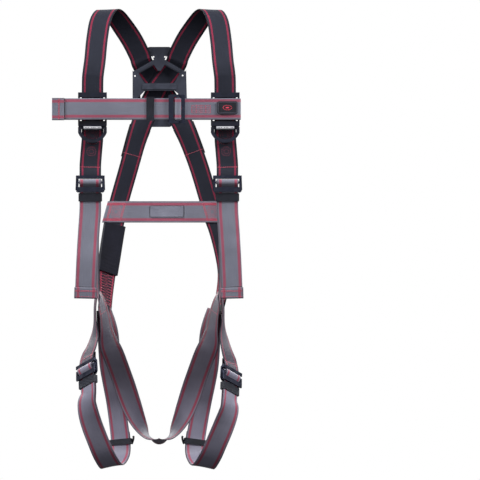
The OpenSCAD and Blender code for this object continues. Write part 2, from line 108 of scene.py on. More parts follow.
TORSO = place([143, -226, -150], [1, 0, 0], [0, 0, 1])
LEG = {LEFT: place([150, -165, -539], [0.64, 0.68, -0.36], [0, 0.41, 0.912]),
       RIGHT: place([150, -165, -553], [0.64, 0.68, -0.36], [0, 0.41, 0.912])}
CHEST = place([39, -235.8, 4], [0, 0, -1], [1, 0, 0])

BAR_N, TAIL_N, LOAD_N = 3.4, 1.4, -4.2
ROLL_V, ROLL_R = 2.4, 4.5
LOOP_V, LOOP_N, LOOP_R = 13, -1.5, 3.7
LAP = 2.1


def rolled(b):
    arc = [(ROLL_V + ROLL_R * math.sin(math.radians(a)), BAR_N + ROLL_R * math.cos(math.radians(a)))
           for a in range(0, 181, 15)]
    return keys_at(b, [(-16, TAIL_N), (-12, 1.5), (-8.5, 1.8), (-6.5, 2.9), (-3.5, 6), (-0.5, 7.7)]
                   + arc + [(-2, -1.6), (-7, -3.2), (-11, LOAD_N), (-16, LOAD_N)])


def looped(b, back, front):
    arc = [(LOOP_V - LOOP_R * math.sin(math.radians(a)), LOOP_N + LOOP_R * math.cos(math.radians(a)))
           for a in range(180, -1, -15)]
    return keys_at(b, list(back) + arc + list(front))


STRAP_Y = -222
ADJUSTER_X = 138.5
OVER_SHOULDER = [
    [142.2, STRAP_Y - 0.7, -102, 1, 0, 0], [140.4, STRAP_Y, -80, 1, 0, 0], [ADJUSTER_X, STRAP_Y, -54, 1, 0, 0],
    [ADJUSTER_X, STRAP_Y, -10, 1, 0, 0], [138.2, STRAP_Y, 60, 1, 0, 0], [136.8, STRAP_Y + 0.6, 80, 1, 0, 0.03],
    [133.4, -213.5, 106, 1, 0, 0.06], [129, -187, 152, 1, 0.03, 0.1],
    [122, -155, 191, 0.98, 0.15, 0.1], [109, -118, 212, 0.94, 0.36, 0],
    [94.5, -84, 203.5, 0.88, 0.34, -0.3], [75.5, -54, 178, 0.86, 0.18, -0.46],
    [56.5, -34, 149, 0.84, 0.05, -0.54], [41, -26, 118, 0.86, 0, -0.5]]
SLOT_IN = [[37.2, -24.4, 105.5, 0.87, 0, -0.5], [35, -20.5, 100.5, 0.87, 0, -0.5],
           [32.5, -16, 96, 0.87, 0, -0.5]]
TO_LEFT_BACK = [
    [12, -9.69, 30, 0.89, 0, 0.45], [20, -16.09, 13, 0.91, 0, 0.41], [22.5, -16.07, 6.5, 0.91, 0, 0.41],
    [24.6, -20.5, 2, 0.91, 0, 0.41], [26.6, -24.8, -3, 0.91, 0, 0.41],
    [35, -27, -21, 0.93, -0.15, 0.33], [48, -29, -60, 0.88, -0.4, 0.28], [64, -30, -118, 0.86, -0.45, 0.25],
    [83, -33, -185, 0.86, -0.46, 0.22], [90, -36, -215, 0.86, -0.46, 0.2], [96, -41, -250, 0.85, -0.5, 0.15],
    [103, -50, -295, 0.84, -0.53, 0.1], [109, -62, -338, 0.76, -0.62, 0.08], [112, -80, -384, 0.6, -0.78, 0],
    [112, -100, -428, 0.42, -0.9, 0]]
TO_RIGHT_BACK = [
    [14, -6.14, 30, 0.87, 0, 0.5], [25, -11.91, 13, 0.86, 0, 0.52], [28.8, -14.56, 6.8, 0.86, 0, 0.52],
    [31.5, -20.5, 2, 0.86, 0, 0.52], [34.5, -24.8, -3, 0.86, 0, 0.52],
    [46, -27, -21, 0.9, -0.15, 0.42], [63, -29, -60, 0.88, -0.4, 0.35], [84, -30, -118, 0.86, -0.45, 0.28],
    [104, -33, -185, 0.86, -0.46, 0.22], [112, -36, -215, 0.86, -0.46, 0.2], [123, -42, -250, 0.8, -0.58, 0.12],
    [132, -52, -295, 0.68, -0.72, 0.06], [136, -64, -338, 0.56, -0.82, 0], [131, -82, -384, 0.5, -0.86, -0.05],
    [122, -100, -428, 0.42, -0.9, 0]]


def shoulder_route(s, under, above, down):
    crossing = [[22, above, 82, 0.85, 0, -0.52], [0, under, 53, 0.85, 0, -0.5]]
    return flip(looped(TORSO, [(38, -6.3), (30, -6.2), (20, -5.6)], [(18, 1.9), (25, 0.3), (33, -2.2)]), s) \
        + smooth(flip(OVER_SHOULDER + SLOT_IN + crossing, s)
                 + [[-s * k[0], k[1], k[2], s * k[3], -k[4], -k[5]] for k in down])


TAIL_END = [
    [152.5, -238, -390.5, 1, 0, 0.03], [151.5, -238, -355, 1, 0, 0.03], [149, -236, -300, 1, 0, 0.03],
    [146, -231, -250, 1, 0, 0.02], [143.4, -227.6, -212, 1, 0, 0], [143, -227.4, -190, 1, 0, 0]]
FRONT_LOAD = [
    [143, -221.8, -170, 1, 0, 0], [143, -221.8, -210, 1, 0, 0], [145, -214, -252, 0.92, 0.38, 0],
    [143, -194, -300, 0.75, 0.64, 0], [138, -168, -342, 0.45, 0.86, 0], [131, -141, -380, 0.18, 0.96, 0.12],
    [124, -126, -401, -0.25, 0.95, 0.2]]
FRONT_ROUTE = smooth(TAIL_END) + rolled(TORSO) + smooth(FRONT_LOAD)

SEAT_HALF = [
    [128.5, -141, -376, 0.16, 0.96, 0.15], [121.5, -128, -399, -0.3, 0.93, 0.2],
    [114, -119, -430, -0.45, 0.86, 0.2], [110, -118, -458, -0.56, 0.8, 0.25],
    [104.5, -116, -486, -0.82, 0.42, 0.36], [93, -112, -515, -0.92, 0, 0.4], [76, -103, -562, -0.93, -0.08, 0.36],
    [59, -91, -612, -0.88, 0.3, 0.36], [44, -81, -647, -0.68, 0.66, 0.3], [28, -73, -673, -0.42, 0.9, 0.1],
    [14, -68, -685.5, -0.16, 0.97, -0.16]]
SEAT_ROUTE = smooth(flip(SEAT_HALF, -1) + [[0, -66, -690.5, 0, 0.95, -0.3]] + SEAT_HALF[::-1])

LEG_LOOP = {LEFT: [
    [116, -92, -414, 0.66, -0.72, 0], [107, -90, -466, 0.86, -0.2, 0], [103, -86, -530, 0.88, 0.2, 0],
    [98, -80, -570, 0.86, 0.4, 0.1], [91, -75, -610, 0.87, 0.46, 0.12], [85, -74, -652, 0.87, 0.46, 0.1],
    [81, -76, -692, 0.88, 0.42, 0], [84, -87, -722, 0.93, 0.25, -0.1], [99, -120, -740, 0.97, 0, -0.18],
    [114, -152, -720, 0.95, -0.02, -0.26], [128, -170, -687, 0.93, 0, -0.36], [143, -182, -645, 0.94, 0.2, -0.26],
    [149, -186.5, -612, 0.82, 0.5, -0.26]], RIGHT: [
    [116, -92, -414, 0.66, -0.72, 0], [107, -90, -466, 0.86, -0.2, 0], [103, -86, -530, 0.88, 0.2, 0],
    [98, -80, -570, 0.86, 0.4, 0.1], [90, -75, -610, 0.87, 0.46, 0.12], [82, -74, -652, 0.87, 0.46, 0.1],
    [76, -76, -692, 0.88, 0.42, 0], [78, -87, -722, 0.93, 0.25, -0.1], [92, -120, -741, 0.97, 0, -0.18],
    [107, -152, -722, 0.95, -0.02, -0.26], [121.5, -170, -690, 0.93, 0, -0.36],
    [137, -182, -652, 0.94, 0.2, -0.26], [145.5, -186.5, -624, 0.82, 0.5, -0.26]]}
KEEPER_END = -52
TAIL_LEFT_OUT = 22


def leg_load(s):
    return smooth(LEG_LOOP[s] + keys_at(LEG[s], [(KEEPER_END, LOAD_N), (-16, LOAD_N)]))


def leg_route(s):
    load = leg_load(s)
    tail = offset_route(load, TAIL_N - LOAD_N, LAP, 12)
    return load + rolled(LEG[s])[::-1] + tail[TAIL_LEFT_OUT:-1][::-1]


def riser_route(s):
    b = LEG[s]
    return looped(b, [(34, -5.8), (26, -5.6), (20, -5.4)], [(18, 1.9), (24, 0.6)]) + smooth(
        keys_at(b, [(32, -1.6)]) + [
            [142.5, -146, -494 + (b[0][2] + 539) * 0.5, 0.55, 0.75, -0.25],
            [136, -131, -470, 0.35, 0.92, -0.1], [134, -124, -445, 0.14, 0.98, 0],
            [134, -122, -410, 0.1, 0.99, 0], [131, -127, -380, 0.1, 0.97, 0.1]])


WAIST_Z = -210
WAIST_KEYS = [[x, y, WAIST_Z, 0, 0, 1] for x, y in (
    (-110, -48.6), (-88, -38), (-64, -26), (-24, -17), (16, -15), (60, -18), (86, -26), (110, -38), (133, -49.5))]
WAIST_ROUTE = smooth(WAIST_KEYS, 3)

WRAP_R = 3.7
OUTER_WRAP = [[ADJUSTER_X + 28 + WRAP_R * math.sin(math.radians(a)),
               -228 + WRAP_R * math.cos(math.radians(a)), 4, 0, 0, 1] for a in range(180, -1, -15)]
INSIDE_END = [[x, y, 4, 0, 0, 1] for x, y in ((118, -229.3), (134, -229.2), (148, -228), (158, -225.4))]


def anchored(s):
    """from the front of the adjuster's outer bar, round it and in to the sewn end"""
    return [[k[0], k[1], k[2], 0, 0, -1] for k in flip(INSIDE_END + OUTER_WRAP[::-1], s)[::-1]]


CHEST_TAIL = [[-222, -236, 4, 0, 0, -1], [-170, -236.8, 4, 0, 0, -1], [-110, -237.2, 4, 0, 0, -1],
              [-60, -237.2, 4, 0, 0, -1]]
CHEST_LEFT = smooth(CHEST_TAIL, 3) + rolled(CHEST) + smooth(
    [[-20, -231.6, 4, 0, 0, -1], [-80, -231.6, 4, 0, 0, -1], [-140, -231.5, 4, 0, 0, -1]], 2) + anchored(LEFT)
CHEST_RIGHT = looped(CHEST, [(65, -5.7), (45, -4.9), (30, -5.2), (20, -5.4)],
                     [(20, 1.6), (30, -0.7), (45, -2.5), (65, -3.4), (85, -4.2)]) + anchored(RIGHT)


def fine(keys, step=3.0):
    """the route resampled every step mm along a curve through its keys"""
    p = [np.array(list(keys[0]), float)]
    for k in keys[1:]:
        k = np.array(list(k), float)
        if np.linalg.norm(k[:3] - p[-1][:3]) > 0.4:
            p.append(k)
    pts, w = np.array(p)[:, :3], frames(p)[2]
    s = np.concatenate([[0], np.cumsum(np.linalg.norm(np.diff(pts, axis=0), axis=1))])
    slope = np.gradient(pts, s, axis=0)
    count = max(3, int(s[-1] / step) + 1)
    at_s = np.linspace(0, s[-1], count)
    # arcs tighter than the step keep their own keys
    extra = [x for x, gap in zip(s[1:-1], np.diff(s)[1:]) if gap < step]
    at_s = np.unique(np.round(np.concatenate([at_s, extra]), 2))
    keep = [at_s[0]]
    for x in at_s[1:]:
        if x - keep[-1] > 0.9:
            keep.append(x)
    if s[-1] - keep[-1] > 0.01:
        keep[-1] = s[-1]
    out = []
    for x in keep:
        i = min(max(int(np.searchsorted(s, x)) - 1, 0), len(s) - 2)
        h = s[i + 1] - s[i]
        t = (x - s[i]) / h
        pos = ((2 * t ** 3 - 3 * t * t + 1) * pts[i] + (t ** 3 - 2 * t * t + t) * h * slope[i]
               + (3 * t * t - 2 * t ** 3) * pts[i + 1] + (t ** 3 - t * t) * h * slope[i + 1])
        out.append(np.concatenate([pos, w[i] * (1 - t) + w[i + 1] * t]))
    return out


class Strap:
    """A route with its frames, and points on it at a distance along, across and above."""

    def __init__(self, keys):
        self.p, self.t, self.w, self.n = frames(keys)
        self.s = np.concatenate([[0], np.cumsum(np.linalg.norm(np.diff(self.p, axis=0), axis=1))])

    def length(self):
        return self.s[-1]

    def at(self, along, across=0.0, above=0.0):
        mix = [np.array([np.interp(along, self.s, f[:, k]) for k in range(3)]) for f in (self.p, self.w, self.n)]
        return mix[0] + unit(mix[1]) * across + unit(mix[2]) * above

    def nearest(self, point, low=0.0, high=1e9):
        inside = (self.s >= low) & (self.s <= high)
        gap = np.where(inside, np.linalg.norm(self.p - np.asarray(point, float), axis=1), 1e9)
        return self.s[int(gap.argmin())]


# ---- mesh helpers ----

def mesh_object(name, verts, faces, material, uvs=None, smooth_faces=True):
    """verts in mm; uvs is one (u, v) for each corner of each face, in order"""
    mesh = bpy.data.meshes.new(name)
    mesh.from_pydata([tuple(np.asarray(v, float) * MM) for v in verts], [], faces)
    if uvs is not None:
        layer = mesh.uv_layers.new(name="strap")
        layer.data.foreach_set("uv", [c for uv in uvs for c in uv])
    mesh.materials.append(material)
    if smooth_faces:
        mesh.polygons.foreach_set("use_smooth", [True] * len(mesh.polygons))
    mesh.update()
    obj = bpy.data.objects.new(name, mesh)
    bpy.context.scene.collection.objects.link(obj)
    return obj


def profile(w, t):
    """a flat section with round selvedges, counter-clockwise as (across, normal)"""
    h, r = w / 2, t / 2
    top = [(h, 0), (h - 0.12 * t, 0.55 * r), (h - 0.4 * t, 0.92 * r), (h - 1.0 * t, r),
           (h * 0.62, r), (h * 0.25, r)]
    top += [(-a, b) for a, b in top[::-1]]
    return top + [(-a, -b) for a, b in top[1:-1]]


def ribbon(name, keys, material, w=WEB_W, t=WEB_T, shift=0.0, cup=None, step=3.0, refined=False, slant=None):
    """A closed strap along the route. shift moves the stripes across, cup(along, across, total) lifts the face,
    and slant(along, across, total) moves a point along the strap, for an end cut askew."""
    strap = Strap(keys if refined else fine(keys, step))
    section = profile(w, t)
    m = len(section)
    verts, faces, uvs = [], [], []
    for i in range(len(strap.p)):
        for a, h in section:
            lift = cup(strap.s[i], a, strap.length()) if cup else 0.0
            skew = slant(strap.s[i], a, strap.length()) if slant else 0.0
            verts.append(strap.p[i] + strap.w[i] * a + strap.n[i] * (h + lift) + strap.t[i] * skew)

    def uv(i, k):
        return (section[k][0] / WEB_W + 0.5 + shift, strap.s[i] / WEB_W)

    for i in range(len(strap.p) - 1):
        for k in range(m):
            j = (k + 1) % m
            faces.append((i * m + k, (i + 1) * m + k, (i + 1) * m + j, i * m + j))
            uvs += [uv(i, k), uv(i + 1, k), uv(i + 1, j), uv(i, j)]
    for i, order in ((0, range(m)), (len(strap.p) - 1, range(m - 1, -1, -1))):
        faces.append(tuple(i * m + k for k in order))
        uvs += [uv(i, k) for k in order]
    return mesh_object(name, verts, faces, material, uvs), strap


def join(name, objects):
    for o in bpy.context.selected_objects:
        o.select_set(False)
    for o in objects:
        o.select_set(True)
    bpy.context.view_layer.objects.active = objects[0]
    bpy.ops.object.join()
    objects[0].name = name
    return objects[0]


def stitch_lines(name, lines, material, length=2.9, gap=0.9, radius=0.42):
    """Separate thread stitches along lines of points in mm."""
    verts, faces = [], []
    ring = 6
    stations = ((0, 0.35), (0.2, 1), (0.8, 1), (1, 0.35))
    for line, normals in lines:
        line, normals = np.asarray(line, float), np.asarray(normals, float)
        s = np.concatenate([[0], np.cumsum(np.linalg.norm(np.diff(line, axis=0), axis=1))])
        count = max(1, int(round(s[-1] / (length + gap))))
        pitch = s[-1] / count
        for i in range(count):
            a, b = i * pitch + gap / 2, (i + 1) * pitch - gap / 2
            p = [np.array([np.interp(x, s, line[:, k]) for k in range(3)]) for x in (a, b)]
            n = unit([np.interp(a, s, normals[:, k]) for k in range(3)])
            along = unit(p[1] - p[0])
            side = unit(np.cross(along, n))
            base = len(verts)
            for f, r in stations:
                centre = p[0] * (1 - f) + p[1] * f
                for k in range(ring):
                    turn = 2 * math.pi * k / ring
                    verts.append(centre + radius * r * (side * math.cos(turn) + n * 0.6 * math.sin(turn)))
            for j in range(len(stations) - 1):
                for k in range(ring):
                    q = (k + 1) % ring
                    faces.append((base + j * ring + k, base + j * ring + q,
                                  base + (j + 1) * ring + q, base + (j + 1) * ring + k))
            faces.append(tuple(base + k for k in range(ring - 1, -1, -1)))
            faces.append(tuple(base + (len(stations) - 1) * ring + k for k in range(ring)))
    return mesh_object(name, verts, faces, material)


def drawn(strap, points, face=1, height=WEB_T / 2 + 0.12):
    """a line given as (along, across) points, laid on a face of the strap"""
    dense = []
    for (a0, b0), (a1, b1) in zip(points, points[1:]):
        n = max(2, int(math.hypot(a1 - a0, b1 - b0) / 1.5))
        dense += [(a0 + (a1 - a0) * k / n, b0 + (b1 - b0) * k / n) for k in range(n)]
    dense.append(points[-1])
    line = [strap.at(a, b, face * height) for a, b in dense]
    normals = [face * (strap.at(a, b, 1) - strap.at(a, b, 0)) for a, b in dense]
    return line, normals


def rectangle(a, b, half_a, half_b):
    return [(a - half_a, b - half_b), (a + half_a, b - half_b), (a + half_a, b + half_b),
            (a - half_a, b + half_b), (a - half_a, b - half_b)]


def circle(a, b, r, n=28):
    return [(a + r * math.cos(2 * math.pi * k / n), b + r * math.sin(2 * math.pi * k / n)) for k in range(n + 1)]


def add_bevel(obj, width, segments=3, angle=30):
    mod = obj.modifiers.new("edge", "BEVEL")
    mod.width, mod.segments = width * MM, segments
    mod.limit_method, mod.angle_limit = "ANGLE", math.radians(angle)
    mod.harden_normals = False
    return obj


# ---- materials ----

class Graph:
    """A short way to build a node tree."""

    def __init__(self, name):
        self.material = bpy.data.materials.new(name)
        self.material.use_nodes = True
        self.nodes, self.links = self.material.node_tree.nodes, self.material.node_tree.links
        self.shader = self.nodes["Principled BSDF"]

    def node(self, kind, inputs=(), **attributes):
        n = self.nodes.new(kind)
        for key, value in attributes.items():
            setattr(n, key, value)
        for socket, value in dict(inputs).items():
            self.put(n.inputs[socket], value)
        return n

    def put(self, socket, value):
        if isinstance(value, bpy.types.NodeSocket):
            self.links.new(value, socket)
        else:
            socket.default_value = value

    def math(self, operation, *values, clamp=False):
        n = self.node("ShaderNodeMath", operation=operation, use_clamp=clamp)
        for i, v in enumerate(values):
            self.put(n.inputs[i], v)
        return n.outputs[0]

    def ramp(self, value, low, high, out_low=0.0, out_high=1.0):
        n = self.node("ShaderNodeMapRange", {"Value": value, "From Min": low, "From Max": high,
                                             "To Min": out_low, "To Max": out_high})
        return n.outputs[0]

    def mix(self, factor, a, b, blend="MIX"):
        n = self.node("ShaderNodeMix", data_type="RGBA", blend_type=blend)
        for i, v in ((0, factor), (6, a), (7, b)):
            self.put(n.inputs[i], v)
        return n.outputs[2]

    def noise(self, scale, detail=3.0, vector=None, roughness=0.55):
        if vector is None:
            vector = self.node("ShaderNodeTexCoord").outputs["Object"]
        n = self.node("ShaderNodeTexNoise", {"Vector": vector, "Scale": scale, "Detail": detail,
                                             "Roughness": roughness})
        return n.outputs[0]

    def bump(self, height, strength, distance, normal=None):
        n = self.node("ShaderNodeBump", {"Height": height, "Strength": strength, "Distance": distance})
        if normal is not None:
            self.put(n.inputs["Normal"], normal)
        return n.outputs[0]

    def finish(self, **sockets):
        for key, value in sockets.items():
            self.put(self.shader.inputs[key.replace("_", " ")], value)
        return self.material


def colour(r, g, b):
    """an sRGB colour of 0 to 255 as linear"""
    def linear(c):
        c /= 255
        return c / 12.92 if c <= 0.04045 else ((c + 0.055) / 1.055) ** 2.4
    return (linear(r), linear(g), linear(b), 1.0)


STRIPE_AT = 0.36


def webbing(name, base, light, stripe, stripe_light, selvedge, ticks, sheen, rough, gloss=0.3, half=0.058,
            painted_shade=None):
    """Woven webbing: ribs along the strap crossed by a fine weft, a stripe near each edge. The last argument is
    painted shade as (centre, start, full, strength), in strap widths along: darker where the distance from centre
    goes from start to full."""
    g = Graph(name)
    uv = g.node("ShaderNodeUVMap", uv_map="strap").outputs[0]
    parts = g.node("ShaderNodeSeparateXYZ", {"Vector": uv})
    u, v = parts.outputs[0], parts.outputs[1]
    across = g.math("SUBTRACT", u, 0.5)
    far = g.math("ABSOLUTE", across)
    turn = 2 * math.pi
    rib = g.math("SINE", g.math("MULTIPLY", u, turn * 34))
    weft_phase = g.math("ADD", g.math("MULTIPLY", v, turn * 30),
                        g.math("MULTIPLY", g.math("SIGN", rib), math.pi / 2))
    weft = g.math("SINE", weft_phase)
    height = g.math("ADD", g.math("MULTIPLY", g.math("ABSOLUTE", rib), 0.6),
                    g.math("MULTIPLY", g.math("ADD", weft, 1.0), 0.22))
    wide = g.noise(11.0, 3.0)
    fine_grain = g.noise(1500.0, 2.0)
    streak = g.node("ShaderNodeMapping", {"Vector": uv, "Scale": (46.0, 1.3, 1.0)}).outputs[0]
    streaks = g.noise(1.0, 2.0, streak)
    # painted shade in the weave: raised ribs and weft lighter, valleys darker, mixed with random streaks of tone
    shade = g.math("ADD", g.math("MULTIPLY", height, 0.5), g.math("MULTIPLY", streaks, 0.5))
    body = g.mix(g.ramp(shade, 0.2, 0.95), base, light)
    # the stripe's own twill, with dark ticks between the coloured threads
    off = g.math("SUBTRACT", far, STRIPE_AT)
    stripe_mask = g.ramp(g.math("ABSOLUTE", off), half, half * 0.6, 0.0, 1.0)
    twill = g.math("SINE", g.math("ADD", g.math("MULTIPLY", v, turn * 16), g.math("MULTIPLY", off, turn * 22)))
    tick = g.ramp(twill, 0.2, 0.75)
    stripe_colour = g.mix(g.math("MULTIPLY", tick, ticks), stripe, stripe_light)
    coloured = g.mix(stripe_mask, body, stripe_colour)
    edge_mask = g.ramp(far, 0.455, 0.485)
    coloured = g.mix(edge_mask, coloured, selvedge)
    coloured = g.mix(g.ramp(wide, 0.35, 0.65), coloured, g.mix(1.0, coloured, (0.8, 0.8, 0.82, 1), "MULTIPLY"))
    coloured = g.mix(g.ramp(fine_grain, 0.45, 0.75, 0.0, 0.16), coloured,
                     g.mix(1.0, coloured, (1.35, 1.35, 1.38, 1), "MULTIPLY"))
    # painted shade: blotchy darkening of the strap by its distance along from the centre
    if painted_shade:
        centre, shade_from, shade_full, strength = painted_shade
        away = g.math("ABSOLUTE", g.math("SUBTRACT", v, centre))
        painted_shade_mask = g.math("MULTIPLY", g.ramp(away, shade_from, shade_full), g.ramp(wide, 0.25, 0.7, 0.75, 1.0))
        coloured = g.mix(g.math("MULTIPLY", painted_shade_mask, strength), coloured,
                         g.mix(1.0, coloured, (0.2, 0.17, 0.19, 1), "MULTIPLY"))
    raised = g.math("ADD", height, g.math("MULTIPLY", stripe_mask, 0.35))
    relief = g.bump(raised, 0.35, 0.0003)
    relief = g.bump(fine_grain, 0.05, 0.0001, relief)
    return g.finish(Base_Color=coloured, Roughness=g.ramp(streaks, 0.3, 0.7, rough - 0.07, rough + 0.07),
                    Normal=relief, Sheen_Weight=sheen, Sheen_Roughness=0.4, Specular_IOR_Level=gloss)


GREY_WEB = webbing("grey_webbing", colour(98, 99, 111), colour(130, 132, 146), colour(150, 66, 88),
                   colour(158, 102, 118), colour(98, 92, 103), 0.6, 0.18, 0.55, half=0.08)
# the leg and seat straps: the grey webbing painted lighter (painted light) and darkened along their length
# (painted shade)
LIT_SHADED_LEG_WEB = webbing("leg_webbing", colour(108, 107, 121), colour(144, 142, 160), colour(150, 62, 84),
                  colour(162, 100, 118), colour(104, 94, 106), 0.6, 0.34, 0.5, half=0.07,
                  painted_shade=(0.0, 5.5, 4.3, 0.6))
LIT_SHADED_SEAT_WEB = webbing("seat_webbing", colour(104, 102, 116), colour(138, 135, 152), colour(148, 58, 80),
                   colour(156, 92, 110), colour(98, 86, 98), 0.6, 0.25, 0.5, half=0.07,
                   painted_shade=(8.4, 1.5, 4.6, 0.65))
DARK_WEB = webbing("dark_webbing", colour(25, 26, 34), colour(48, 51, 63), colour(152, 46, 72),
                   colour(50, 27, 39), colour(27, 24, 31), 1.0, 0.05, 0.66, 0.12, 0.05)
# the risers: webbing painted darker all over, as painted shade
PAINTED_SHADE_RISER_WEB = webbing("riser_webbing", colour(46, 42, 53), colour(72, 68, 82), colour(120, 42, 62),
                    colour(128, 74, 92), colour(40, 36, 46), 0.7, 0.06, 0.6, 0.2, 0.052)


def woven(name, dark, light, scale_u=900.0, rough=0.75, depth=0.0003):
    """Plain woven cloth in object coordinates: two crossed sets of threads and loose fibres."""
    g = Graph(name)
    xyz = g.node("ShaderNodeTexCoord").outputs["Object"]
    p = g.node("ShaderNodeSeparateXYZ", {"Vector": xyz})
    level = g.math("SINE", g.math("MULTIPLY", p.outputs[2], scale_u * 6.28))
    plumb = g.math("SINE", g.math("MULTIPLY", g.math("ADD", p.outputs[0], g.math("MULTIPLY", p.outputs[1], 0.7)),
                                  scale_u * 6.28))
    height = g.math("MAXIMUM", level, plumb)
    grain = g.noise(700.0, 3.0)
    patchy = g.noise(25.0, 3.0)
    # partly painted shade: thread tops lighter and hollows darker, mostly random patches of tone
    mixed = g.math("ADD", g.math("MULTIPLY", height, 0.25), g.math("MULTIPLY", patchy, 0.9))
    shade = g.mix(g.ramp(mixed, 0.2, 0.8), dark, light)
    shade = g.mix(g.ramp(grain, 0.5, 0.75, 0, 0.3), shade, g.mix(1.0, shade, (1.5, 1.5, 1.5, 1), "MULTIPLY"))
    relief = g.bump(height, 0.5, depth)
    relief = g.bump(grain, 0.15, depth, relief)
    return g.finish(Base_Color=shade, Roughness=rough, Normal=relief, Sheen_Weight=0.03, Sheen_Roughness=0.5,
                    Specular_IOR_Level=0.2)


KEEPER = woven("keeper_elastic", colour(14, 15, 21), colour(34, 36, 46), 500.0, 0.6)
SLEEVE = woven("sleeve_cloth", colour(6, 7, 16), colour(20, 21, 36), 700.0, 0.72)
PATCH = woven("patch_cloth", colour(104, 105, 119), colour(134, 136, 150), 900.0, 0.7)


def thread(name, tone, tip):
    g = Graph(name)
    grain = g.noise(2500.0, 2.0)
    wide = g.noise(60.0, 2.0)
    shade = g.mix(g.ramp(g.math("ADD", g.math("MULTIPLY", grain, 0.5), g.math("MULTIPLY", wide, 0.5)), 0.4, 0.6),
                  tone, tip)
    return g.finish(Base_Color=shade, Roughness=0.5, Normal=g.bump(grain, 0.4, 0.0002), Sheen_Weight=0.2)


RED_THREAD = thread("red_thread", colour(190, 40, 72), colour(214, 84, 110))
DARK_THREAD = thread("dark_thread", colour(34, 32, 42), colour(56, 52, 62))


def enamel(name, base, worn, rough, wear):
    """Coated steel: gloss with orange peel, dust in broad patches and bright wear on exposed edges."""
    g = Graph(name)
    peel = g.noise(380.0, 2.0)
    dust = g.noise(45.0, 4.0, roughness=0.65)
    scratch_at = g.node("ShaderNodeMapping", {"Vector": g.node("ShaderNodeTexCoord").outputs["Object"],
                                              "Scale": (900.0, 900.0, 60.0)}).outputs[0]
    scratch = g.ramp(g.noise(1.0, 2.0, scratch_at), 0.66, 0.72)
    point = g.node("ShaderNodeNewGeometry").outputs["Pointiness"]
    edge = g.math("MULTIPLY", g.ramp(point, 0.56, 0.66), g.ramp(g.noise(90.0, 3.0), 0.48, 0.66))
    worn_mask = g.math("MULTIPLY", g.math("MAXIMUM", edge, g.math("MULTIPLY", scratch, 0.35)), wear, clamp=True)
    shade = g.mix(g.ramp(dust, 0.4, 0.8), base, g.mix(0.07, base, colour(92, 92, 104)))
    shade = g.mix(worn_mask, shade, worn)
    roughness = g.math("ADD", g.ramp(dust, 0.3, 0.7, rough * 0.75, rough * 1.35),
                       g.math("MULTIPLY", worn_mask, 0.2))
    return g.finish(Base_Color=shade, Roughness=roughness, Normal=g.bump(peel, 0.06, 0.0003),
                    Coat_Weight=0.12, Coat_Roughness=0.15, Specular_IOR_Level=0.35,
                    Specular_Tint=colour(196, 208, 255))


BLACK_STEEL = enamel("black_steel", colour(14, 16, 28), colour(84, 86, 100), 0.32, 0.2)
BAR_STEEL = enamel("bar_steel", colour(22, 22, 28), colour(120, 120, 128), 0.3, 0.4)
# bar caps coloured light grey: painted glints on the dark steel
GLINT_CAP_STEEL = enamel("cap_steel", colour(84, 84, 98), colour(150, 150, 160), 0.3, 0.5)
RING_STEEL = enamel("ring_steel", colour(34, 35, 42), colour(140, 142, 150), 0.3, 0.6)


def moulded(name, base, light, rough, grain=0.12, grain_scale=1400.0, gloss=0.3):
    """Moulded polymer with a spark-eroded grain and slight handling wear."""
    g = Graph(name)
    pits = g.noise(grain_scale, 3.0)
    patchy = g.noise(18.0, 3.0)
    point = g.node("ShaderNodeNewGeometry").outputs["Pointiness"]
    rub = g.math("MULTIPLY", g.ramp(point, 0.54, 0.64), g.ramp(g.noise(60.0, 3.0), 0.4, 0.6, 0.1, 0.5))
    shade = g.mix(g.ramp(patchy, 0.3, 0.7), base, g.mix(0.35, base, light))
    shade = g.mix(rub, shade, light)
    return g.finish(Base_Color=shade, Roughness=g.ramp(patchy, 0.3, 0.7, rough - 0.05, rough + 0.08),
                    Normal=g.bump(pits, grain, 0.0002), Specular_IOR_Level=gloss)


SLATE = moulded("slate_plate", colour(36, 39, 50), colour(66, 70, 84), 0.5)
BLACK_PLASTIC = moulded("black_plastic", colour(10, 12, 22), colour(36, 40, 58), 0.42, gloss=0.25)
BADGE = moulded("badge_rubber", colour(18, 19, 26), colour(44, 44, 54), 0.55, 0.2)
BADGE_RED = moulded("badge_mark", colour(216, 52, 76), colour(226, 96, 112), 0.5, 0.1)
KEEPER_TAG = moulded("keeper_tag", colour(15, 15, 21), colour(40, 42, 54), 0.45)
BADGE_RIM = moulded("badge_rim", colour(52, 53, 64), colour(96, 96, 108), 0.45)
DARK_PRINT = moulded("dark_print", colour(46, 47, 56), colour(70, 70, 80), 0.5)
PRINT = moulded("print_plate", colour(196, 197, 202), colour(232, 232, 235), 0.55, 0.1)
PAPER = woven("label_satin", colour(196, 194, 188), colour(222, 221, 216), 2400.0, 0.45, 0.00012)


def own(obj, body, slot, *cad_nodes):
    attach(obj, body)
    if cad_nodes:
        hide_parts(*cad_nodes)
    return obj


# ---- straps ----

def droop(size, wavelength, seed, free_end=0.0, edge=0.0):
    """a slow irregular lift of the face over the free_end mm at the start, with the edges curling by edge mm"""
    rng = random.Random(seed)
    waves = [(rng.uniform(0.6, 1.5) * wavelength, rng.uniform(0, 6.3), rng.uniform(-1, 1)) for _ in range(3)]

    def lift(along, across, total):
        fade = max(0.0, min(1.0, (free_end - along) / 60))
        wave = sum(math.sin(2 * math.pi * along / wl + ph) * (0.6 + tilt * across / WEB_W)
                   for wl, ph, tilt in waves)
        return (size * wave / 3 + edge * (2 * across / WEB_W) ** 2) * fade
    return lift


def strap_piece(node, keys, material, slot, body="straps", **how):
    obj, strap = ribbon(node + ".web", keys, material, **how)
    own(obj, body, slot, node)
    return strap


def waist_slant(along, across, total):
    """the sewn ends of the waist strap follow the back straps' slope"""
    start, end = max(0.0, 1 - along / 40), max(0.0, 1 - (total - along) / 40)
    return end * (2.0 - 0.3 * across) - start * (4.0 - 0.3 * across)


